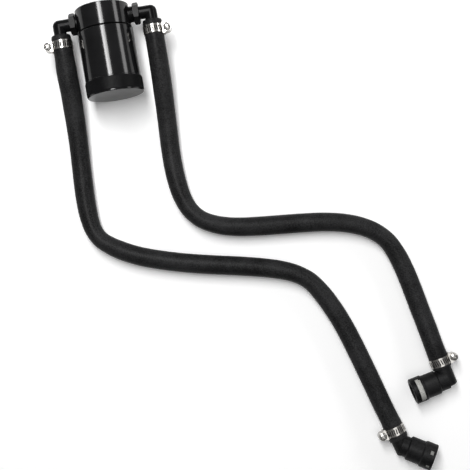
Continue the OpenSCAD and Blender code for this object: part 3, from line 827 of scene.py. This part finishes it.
@dataclass
class Hose:
    """One rubber hose, swept along its route as a hollow tube that flattens where it bends hard.

    Seen from above, oval is how much wider than round the hose is on its way down from its elbow.
    """

    name: str
    route: Sequence[Sequence[float]]
    last_heading: float
    near_clamp: float
    far_clamp: float
    pieces_on_it: Sequence[str]
    oval: float = 0.0
    radius: float = HOSE_RADIUS
    bore_radius: float = mm(6.35)
    step: float = mm(2.5)
    sides: int = 40
    flattening: float = 0.5
    most_flattening: float = 0.12
    rise_share: float = 0.7
    half_band: float = mm(4.5)
    dent: float = mm(0.15)
    bulge: float = mm(0.42)
    chamfer: float = mm(0.8)
    length: float = 0.0

    def build(self) -> bpy.types.Object:
        """Returns:
            The hose.
        """
        centres = self.centreline()
        tangents = self.tangents(centres)
        bends = self.bends(centres, tangents)
        self.length = sum((b - a).length for a, b in zip(centres, centres[1:]))
        piece = self.tube(centres, tangents, bends)
        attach(piece, "root")
        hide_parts(self.name)
        dress(piece, Finishes.HOSE)
        return piece

    def centreline(self) -> list[Vector]:
        """Draws one smooth curve through the route's points.

        Returns:
            Points on the curve, about a step apart.
        """
        knots = [mm_point(point if len(point) == 3 else (*point, LAY)) for point in self.route]
        lead = mm(10)
        ahead = (knots[0] - knots[1]).normalized() * lead
        beyond = heading(self.last_heading) * lead
        knots = [knots[0] + ahead, *knots, knots[-1] + beyond]
        fine: list[Vector] = []
        for before, start, end, after in zip(knots, knots[1:], knots[2:], knots[3:]):
            count = max(2, round((end - start).length / self.step))
            times = [0.0]
            for a, b in ((before, start), (start, end), (end, after)):
                times.append(times[-1] + math.sqrt((b - a).length))
            for k in range(count):
                at = times[1] + (times[2] - times[1]) * k / count
                fine.append(self.catmull(before, start, end, after, times, at))
        fine.append(knots[-2].copy())
        return fine

    @staticmethod
    def catmull(before: Vector, start: Vector, end: Vector, after: Vector, times: list[float],
                at: float) -> Vector:
        """Finds a point on the centripetal curve through four knots.

        Args:
            before: the knot before the stretch.
            start: where the stretch starts.
            end: where it ends.
            after: the knot after it.
            times: the four knots' times.
            at: the point's time.

        Returns:
            The point.
        """
        def mixed(a: Vector, b: Vector, low: float, high: float) -> Vector:
            """The point between a and b at this time."""
            return a.lerp(b, (at - low) / (high - low))

        first = mixed(before, start, times[0], times[1])
        middle = mixed(start, end, times[1], times[2])
        last = mixed(end, after, times[2], times[3])
        near = mixed(first, middle, times[0], times[2])
        far = mixed(middle, last, times[1], times[3])
        return mixed(near, far, times[1], times[2])

    @staticmethod
    def tangents(centres: list[Vector]) -> list[Vector]:
        """The direction of the centreline at each point."""
        last = len(centres) - 1
        return [(centres[min(i + 1, last)] - centres[max(i - 1, 0)]).normalized()
                for i in range(last + 1)]

    def bends(self, centres: list[Vector], tangents: list[Vector]) -> list[float]:
        """Measures how hard the hose bends.

        Args:
            centres: the centreline's points.
            tangents: its direction at each point.

        Returns:
            The hose's radius over the bend's at each point, smoothed.
        """
        raw: list[float] = [0.0]
        for i in range(1, len(centres) - 1):
            run = (centres[i + 1] - centres[i - 1]).length
            raw.append((tangents[i + 1] - tangents[i - 1]).length / run * self.radius)
        raw.append(0.0)
        reach = 6
        windows = (raw[max(0, i - reach):i + reach + 1] for i in range(len(raw)))
        return [sum(window) / len(window) for window in windows]

    def swelling(self, along: float) -> float:
        """Measures how the clamps shape the hose's skin.

        Args:
            along: how far along the hose.

        Returns:
            How far the skin stands out there, or in where it is negative.
        """
        dent_edge, bulge_edge, bulge_reach = mm(1.2), mm(1.4), mm(4.5)
        rise = 0.0
        for clamp in (self.near_clamp, self.length - self.far_clamp):
            off = abs(along - clamp) - self.half_band
            if off < 0:
                rise -= self.dent * min(1.0, -off / dent_edge)
            else:
                rise += self.bulge * min(1.0, off / bulge_edge) * math.exp(-((off / bulge_reach) ** 2))
        return rise

    def squeeze(self, along: float, bend: float) -> float:
        """Measures how far from round the hose is.

        Args:
            along: how far along the hose.
            bend: how hard it bends there.

        Returns:
            How much narrower than round it is there, seen from above, as a share of its width.
        """
        start, top, end = mm(18), mm(34), mm(120)
        share = (along - start) / (top - start) if along < top else (end - along) / (end - top)
        return min(self.most_flattening, self.flattening * bend) - self.oval * max(0.0, min(1.0, share))

    def tube(self, centres: list[Vector], tangents: list[Vector], bends: list[float]) -> bpy.types.Object:
        """Builds the hollow tube, its skin's rings of points first and its bore's after them.

        Args:
            centres: the centreline's points.
            tangents: its direction at each point.
            bends: how hard the hose bends at each point.

        Returns:
            The tube.
        """
        sides = self.sides
        upwards = Vector((0, 0, 1))
        outer: list[Vector] = []
        inner: list[Vector] = []
        lengths = [0.0]
        for a, b in zip(centres, centres[1:]):
            lengths.append(lengths[-1] + (b - a).length)
        for centre, tangent, bend, along in zip(centres, tangents, bends, lengths):
            side = tangent.cross(upwards).normalized()
            lift = side.cross(tangent)
            flat = self.squeeze(along, bend)
            end = min(along, lengths[-1] - along)
            radius = self.radius + self.swelling(along) - max(0.0, self.chamfer - end) / 2
            wide, high = radius * (1 - flat), radius * (1 + flat * self.rise_share)
            raised = centre + lift * (high - radius)
            for k in range(sides):
                turn = 2 * math.pi * k / sides
                across = side * math.cos(turn)
                up = lift * math.sin(turn)
                outer.append(raised + across * wide + up * high)
                inner.append(raised + (across + up) * self.bore_radius)
        piece = piece_of(f"{self.name}_rubber", outer + inner, [], self.tube_faces(len(centres)))
        self.unwrap(piece, lengths)
        with edit_mode(piece):
            bpy.ops.mesh.normals_make_consistent(inside=False)
        smooth(piece, 40.0)
        return piece

    def tube_faces(self, count: int) -> list[tuple[int, int, int, int]]:
        """Lists the faces of the tube's skin, of its bore and of its two ends.

        Args:
            count: how many rings the skin has, and the bore too.

        Returns:
            The faces, as rings of points.
        """
        sides, total = self.sides, count * self.sides

        def quad(ring: int, k: int) -> tuple[int, int, int, int]:
            """One face between a ring and the next, seen from the axis."""
            right = (k + 1) % sides
            return ring * sides + k, ring * sides + right, (ring + 1) * sides + right, (ring + 1) * sides + k

        quads = [quad(ring, k) for ring in range(count - 1) for k in range(sides)]
        faces = [face[::-1] for face in quads]
        faces += [tuple(total + index for index in face) for face in quads]
        last = (count - 1) * sides
        for k in range(sides):
            right = (k + 1) % sides
            faces.append((k, total + k, total + right, right))
            faces.append((last + k, last + right, total + last + right, total + last + k))
        return faces

    def unwrap(self, piece: bpy.types.Object, lengths: Sequence[float]) -> None:
        """Adds a UV map whose U runs along the hose, in turns of its girth, and whose V runs round it.

        Args:
            piece: the tube.
            lengths: how far along the hose each ring is.
        """
        sides, loops = self.sides, piece.data.loops
        total = len(lengths) * sides
        walls = 2 * (len(lengths) - 1) * sides
        girth = 2 * math.pi * self.radius
        uv = piece.data.uv_layers.new(name="along")
        for face in piece.data.polygons:
            for corner in face.loop_indices:
                ring, k = divmod(loops[corner].vertex_index % total, sides)
                closes = face.index < walls and k == 0 and any(
                    loops[other].vertex_index % sides == sides - 1 for other in face.loop_indices)
                uv.data[corner].uv = (lengths[ring] / girth, 1.0 if closes else k / sides)


# The hoses' centre lines in millimetres, from elbow to connector, and the level direction in which each ends.
# A point without a height is where the hose lies on the surface, with its centre line at LAY.
LAY = 10.35
LEFT_ROUTE = [
    (-49, 24.75, 30.4), (-49, 2.75, 30.4), (-49.5, -17, 28), (-49.5, -36, 24), (-50.3, -55, 19),
    (-51.2, -74, 14.5), (-52.2, -93, 11.8), (-53.4, -111.5), (-54.4, -131.5), (-55, -151.5),
    (-54.2, -169.5), (-51.6, -183), (-45.8, -194), (-36.4, -202.5), (-23.2, -211), (-7, -219), (15, -227),
    (41, -234.7), (69, -241.5), (97, -247.8), (121, -253.8), (140, -259.8), (155, -266.8), (166.7, -275.8),
    (175.8, -288.5), (184.8, -305.5), (193.8, -327.3), (201.7, -352), (208.8, -377), (215, -399.8, 10.8),
    (220.3, -419.8, 11.4), (225.12, -436.3, 12.05), (231, -457.5, 12.05),
]
LEFT_HEADING = -74.5
RIGHT_ROUTE = [
    (49, 24.75, 30.4), (49, 2.75, 30.4), (48.7, -17, 28), (48.1, -36, 24), (47.2, -55, 19),
    (46.2, -74, 14.5), (45.1, -93, 11.8), (44.2, -111), (44.1, -129.5), (45.1, -146.5), (47.9, -163.5),
    (53.7, -178.7), (63.8, -190.8), (79, -199.4), (97.5, -205), (121, -208.6), (146, -211.2), (170, -213.6),
    (192, -216.4), (212, -220.7), (230, -227.2), (245, -236.2), (256.3, -248), (263.8, -263.7),
    (269.4, -282.6), (273.8, -303.5), (278, -326.3), (282, -348.2, 11.8), (285.41, -369.64, 13.7),
    (289.8, -391.2, 13.7),
]
RIGHT_HEADING = -78.5


@dataclass
class ClampScrew:
    """The worm screw of one clamp: thread, necks and a cross-slotted hexagon head on a flange."""

    clamp: str
    core_radius: float = mm(2.5)
    worm_radius: float = mm(3.35)
    worm_start: float = mm(2.4)
    worm_end: float = mm(1.5)
    foot_length: float = mm(2.25)
    neck_radius: float = mm(2.3)
    neck_length: float = mm(1.3)
    pitch: float = mm(1.75)
    flange_radius: float = mm(4.2)
    flange_height: float = mm(1)
    head_height: float = mm(4)
    flats: float = mm(7)
    crown: float = mm(1.15)
    crown_steps: int = 8
    slot_share: float = 0.8
    slot_width: float = mm(0.7)
    slot_height: float = mm(2.4)

    def build(self) -> bpy.types.Object:
        """Builds the screw where its node stands.

        Returns:
            The screw.
        """
        node = f"{self.clamp}_screw"
        low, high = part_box(node)
        foot = Vector(((low.x + high.x) / 2, (low.y + high.y) / 2, low.z))
        height = high.z - low.z
        head_z = height - self.head_height
        neck_z = head_z - self.neck_length
        flange_z = head_z + self.flange_height
        shaft = turned(f"{node}_shaft", rounded([
            (0, 0), (self.neck_radius, 0, mm(0.4)), (self.neck_radius, self.foot_length),
            (self.core_radius, self.foot_length), (self.core_radius, neck_z),
            (self.neck_radius, neck_z), (self.neck_radius, head_z),
            (self.flange_radius, head_z, mm(0.2)), (self.flange_radius, flange_z, mm(0.45)),
            (self.core_radius, flange_z), (0, flange_z),
        ]), steps=48)
        overlap = mm(0.1)
        worm = thread(f"{node}_worm", self.core_radius - overlap, self.worm_radius, self.pitch,
                      head_z - self.worm_start - self.worm_end, steps=28)
        put(worm, Matrix.Translation((0, 0, self.worm_start)))
        head = self.head(f"{node}_head", head_z + self.flange_height / 2, height)
        piece = join([shaft, worm, head], f"{node}_turned")
        put(piece, Matrix.Translation(foot))
        smooth(piece, 30.0)
        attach(piece, node)
        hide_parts(node)
        dress(piece, Finishes.SCREW)
        return piece

    def head(self, name: str, low: float, high: float) -> bpy.types.Object:
        """Builds the hexagon, its top domed and a cross pressed into it.

        Args:
            name: the head's name.
            low: the height of its foot.
            high: the height of its top.

        Returns:
            The head, round Z.
        """
        deselect_everything()
        rim = self.flats / math.sqrt(3)
        bpy.ops.mesh.primitive_cylinder_add(vertices=6, radius=rim, depth=high - low,
                                            location=(0, 0, (low + high) / 2))
        hexagon = bpy.context.object
        hexagon.name = name
        put(hexagon, hexagon.matrix_world.copy())
        steps, room = self.crown_steps, mm(1)
        crown = [(rim * k / steps, high - self.crown * (k / steps) ** 2) for k in range(steps, -1, -1)]
        dome = turned(f"{name}_dome", [
            (0, low - room), (rim + room, low - room), (rim + room, high - self.crown * 1.2), *crown,
        ], steps=48)
        apply_modifier(hexagon, "BOOLEAN", operation="INTERSECT", object=dome, solver="EXACT")
        for turn in (0.0, math.pi / 2):
            deselect_everything()
            bpy.ops.mesh.primitive_cube_add(size=1, location=(0, 0, high))
            slot = bpy.context.object
            slot.scale = (self.flats * self.slot_share, self.slot_width, self.slot_height)
            slot.rotation_euler = (0, 0, turn + math.pi / 4)
            put(slot, slot.matrix_basis.copy())
            apply_modifier(hexagon, "BOOLEAN", operation="DIFFERENCE", object=slot, solver="EXACT")
            bpy.data.objects.remove(slot)
        bpy.data.objects.remove(dome)
        apply_modifier(hexagon, "BEVEL", width=mm(0.12), segments=2, limit_method="ANGLE",
                       angle_limit=math.radians(40))
        return hexagon


@dataclass
class MouthSleeve:
    """The dark ring in the right-angle connector's mouth, seen through its window before the retainer."""

    name: str = "square_connector_sleeve"
    hose_end: Point = RIGHT_ROUTE[-1]
    hose_heading: float = RIGHT_HEADING
    leg: float = mm(12.5)
    reach: float = mm(39)
    inner_radius: float = mm(9.1)
    outer_radius: float = mm(11.4)
    front: float = mm(1.45)
    back: float = mm(5.3)

    def build(self) -> bpy.types.Object:
        """Builds the sleeve in its place.

        Returns:
            The sleeve.
        """
        fine = mm(0.3)
        sleeve = turned(self.name, rounded([
            (self.inner_radius, self.front), (self.outer_radius, self.front, fine),
            (self.outer_radius, self.back, fine), (self.inner_radius, self.back),
            (self.inner_radius, self.front),
        ]), steps=72)
        outward = heading(self.hose_heading - 90)
        mouth = mm_point(self.hose_end) + heading(self.hose_heading) * self.leg + outward * self.reach
        put(sleeve, Matrix.Translation(mouth) @ (-outward).to_track_quat("Z", "Y").to_matrix().to_4x4())
        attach(sleeve, "root")
        dress(sleeve, Finishes.BODY)
        return sleeve


@dataclass(frozen=True)
class SoftBox:
    """A rectangular studio lamp that faces a point on the surface."""

    name: str
    place: Point
    aim: Point
    size: tuple[float, float]
    radiance: float
    long_axis: Point = (0.0, 1.0, 0.0)

    def hang(self) -> None:
        """Adds the lamp."""
        lamp = bpy.data.lights.new(self.name, "AREA")
        lamp.shape = "RECTANGLE"
        lamp.size, lamp.size_y = self.size
        lamp.energy = self.radiance * math.pi * self.size[0] * self.size[1]
        holder = bpy.data.objects.new(self.name, lamp)
        back = (Vector(self.place) - Vector(self.aim)).normalized()
        across = Vector(self.long_axis).cross(back).normalized()
        along = back.cross(across)
        turn = Matrix((across, along, back)).transposed().to_4x4()
        holder.matrix_world = Matrix.Translation(self.place) @ turn
        bpy.context.scene.collection.objects.link(holder)


@dataclass
class Studio:
    """The floor, the lamps, the surroundings and the camera over the part.

    The room's light goes from one of room_levels to the other as a direction rises through room_heights.
    """

    aim: Point = (0.09671, -0.21356, 0.0)
    camera_height: float = 1.03
    lean: Point = (-0.00604, -0.03448, 0.0)
    image_up: Point = (0.1726, 0.985, 0.0)
    lens_pixels: float = 950.0
    picture_pixels: float = 470.0
    sensor_width: float = 36.0
    clip: tuple[float, float] = (0.05, 20.0)
    floor_size: float = 6.0
    floor_drop: float = mm(0.05)
    floor_bounce: float = 0.06
    floor_white: float = 1.0
    floor_glow: float = 0.1
    floor_gloss: float = 0.75
    room_heights: tuple[float, float] = (0.3, 0.98)
    room_levels: tuple[float, float] = (0.12, 0.2)
    lamps: tuple[SoftBox, ...] = (
        SoftBox("overhead_left", (-0.17, 0.42, 1.45), (-0.05, 0.0, 0.0), (0.20, 1.1), 19.0),
        SoftBox("overhead_right", (0.02, 0.42, 1.45), (0.05, 0.0, 0.0), (0.18, 1.1), 13.0),
        SoftBox("side_strip", (1.30, 0.55, 0.66), (0.05, -0.1, 0.0), (0.38, 1.2), 4.5),
        SoftBox("low_card", (0.43, -0.68, 1.3), (0.25, -0.4, 0.0), (0.9, 0.5), 1.3),
    )

    def build(self) -> None:
        """Sets up everything that isn't the part."""
        self.floor()
        self.surroundings()
        for lamp in self.lamps:
            lamp.hang()
        self.camera()
        bpy.context.scene.view_settings.view_transform = "Standard"

    def floor(self) -> None:
        """A floor that looks white under the part's shadow and throws little light back."""
        deselect_everything()
        bpy.ops.mesh.primitive_plane_add(size=self.floor_size, location=(*self.aim[:2], -self.floor_drop))
        sheet = bpy.context.object
        sheet.name = "studio_floor"
        material = bpy.data.materials.new("studio_floor")
        bench = NodeBench(material)
        dim, white = (
            bench.node("ShaderNodeBsdfDiffuse", {}, {"Color": (level, level, level, 1.0)}).outputs[0]
            for level in (self.floor_bounce, self.floor_white))
        glow = bench.node("ShaderNodeEmission", {}, {"Strength": self.floor_glow}).outputs[0]
        lit = bench.node("ShaderNodeAddShader", {}, {0: white, 1: glow}).outputs[0]
        self.seen_by_camera(bench, dim, lit, "ShaderNodeOutputMaterial", self.floor_gloss)
        sheet.data.materials.append(material)

    @staticmethod
    def seen_by_camera(bench: NodeBench, hidden: bpy.types.NodeSocket, seen: bpy.types.NodeSocket,
                       output_kind: str, gloss: float = 0.0) -> None:
        """Ends a node tree with one shader for the camera and another for other rays.

        Args:
            bench: the node tree's bench.
            hidden: the shader for other rays.
            seen: the shader for the camera.
            output_kind: the type of the tree's output node.
            gloss: the share of the camera's shader in what glossy surfaces mirror.
        """
        rays = bench.node("ShaderNodeLightPath", {}, {}).outputs
        share = Wire(bench, rays["Is Glossy Ray"]) * gloss + Wire(bench, rays["Is Camera Ray"])
        chosen = bench.node("ShaderNodeMixShader", {}, {0: share, 1: hidden, 2: seen})
        bench.node(output_kind, {}, {"Surface": chosen.outputs[0]})

    def surroundings(self) -> None:
        """A dim room that is a little brighter overhead, and white where the camera sees it."""
        world = bpy.data.worlds.new("studio_room")
        bench = NodeBench(world)
        direction = bench.node("ShaderNodeTexCoord", {}, {}).outputs["Generated"]
        rise = bench.node("ShaderNodeSeparateXYZ", {}, {0: direction}).outputs["Z"]
        level = bench.number("ShaderNodeMapRange", {"interpolation_type": "SMOOTHSTEP"},
                             [rise, *self.room_heights, *self.room_levels])
        white = (1.0, 1.0, 1.0, 1.0)
        room = bench.node("ShaderNodeBackground", {}, {"Color": white, "Strength": level})
        backdrop = bench.node("ShaderNodeBackground", {}, {"Color": white})
        self.seen_by_camera(bench, room.outputs[0], backdrop.outputs[0], "ShaderNodeOutputWorld")
        bpy.context.scene.world = world

    def camera(self) -> None:
        """The camera, almost straight above the middle of the part and turned as the picture is."""
        lens = bpy.data.cameras.new("camera")
        lens.sensor_fit = "HORIZONTAL"
        lens.sensor_width = self.sensor_width
        lens.lens = self.sensor_width * self.lens_pixels / self.picture_pixels
        lens.clip_start, lens.clip_end = self.clip
        eye = bpy.data.objects.new("camera", lens)
        place = Vector(self.aim) + Vector((0, 0, self.camera_height)) + Vector(self.lean)
        back = (place - Vector(self.aim)).normalized()
        right = Vector(self.image_up).cross(back).normalized()
        up = back.cross(right)
        eye.matrix_world = Matrix.Translation(place) @ Matrix((right, up, back)).transposed().to_4x4()
        bpy.context.scene.collection.objects.link(eye)
        bpy.context.scene.camera = eye


CONNECTOR_PIECES = ("body", "retainer", "bushing", "front_seal", "spacer", "rear_seal")
CLAMP_PLACES = ("left_can", "right_can", "left_end", "right_end")


def pieces_on(side: str, connector: str) -> list[str]:
    """Lists the pieces that sit on one hose: its two clamps and its connector.

    Args:
        side: the hose's side.
        connector: the name that its connector's pieces begin with.

    Returns:
        The pieces' names.
    """
    clamps = [f"clamp_{side}_{place}_{part}" for place in ("can", "end") for part in ("band", "housing")]
    turning = [f"clamp_{side}_{place}_screw_turned" for place in ("can", "end")]
    return clamps + turning + [f"{connector}_{part}" for part in CONNECTOR_PIECES]


def dress_nodes(frame: dict) -> None:
    """Gives every node of the frame its own finish, or else its material slot's.

    Args:
        frame: the frame, as loaded.
    """
    slots = {entry["node"]: entry["material_slot"] for entry in frame["record"]["subparts"]}
    for node, piece in frame["nodes"].items():
        dress(piece, NODE_FINISHES.get(node, SLOT_FINISHES[slots[node]]))
    log.info("dressed %d nodes", len(slots))


def main() -> None:
    """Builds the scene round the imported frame, one sub-assembly after the other."""
    logging.basicConfig(level=logging.INFO, format="%(name)s: %(message)s")
    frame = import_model()
    Studio().build()
    dress_nodes(frame)
    for place in CLAMP_PLACES:
        log.info("made %s", ClampScrew(f"clamp_{place}").build().name)
    sleeve = MouthSleeve().build()
    log.info("made %s", sleeve.name)
    hoses = (
        Hose("hose_left", LEFT_ROUTE, LEFT_HEADING, near_clamp=mm(10.3), far_clamp=mm(10), oval=0.09,
             pieces_on_it=pieces_on("left", "angled_connector")),
        Hose("hose_right", RIGHT_ROUTE, RIGHT_HEADING, near_clamp=mm(10.3), far_clamp=mm(7), oval=0.02,
             pieces_on_it=[*pieces_on("right", "square_connector"), sleeve.name]),
    )
    for hose in hoses:
        log.info("made %s, %.3f m long", hose.build().name, hose.length)
    for sub_assembly in (Can(), BareThread("elbow_right", 1)):
        for piece in sub_assembly.build():
            log.info("made %s", piece.name)


if __name__ == "__main__":
    main()
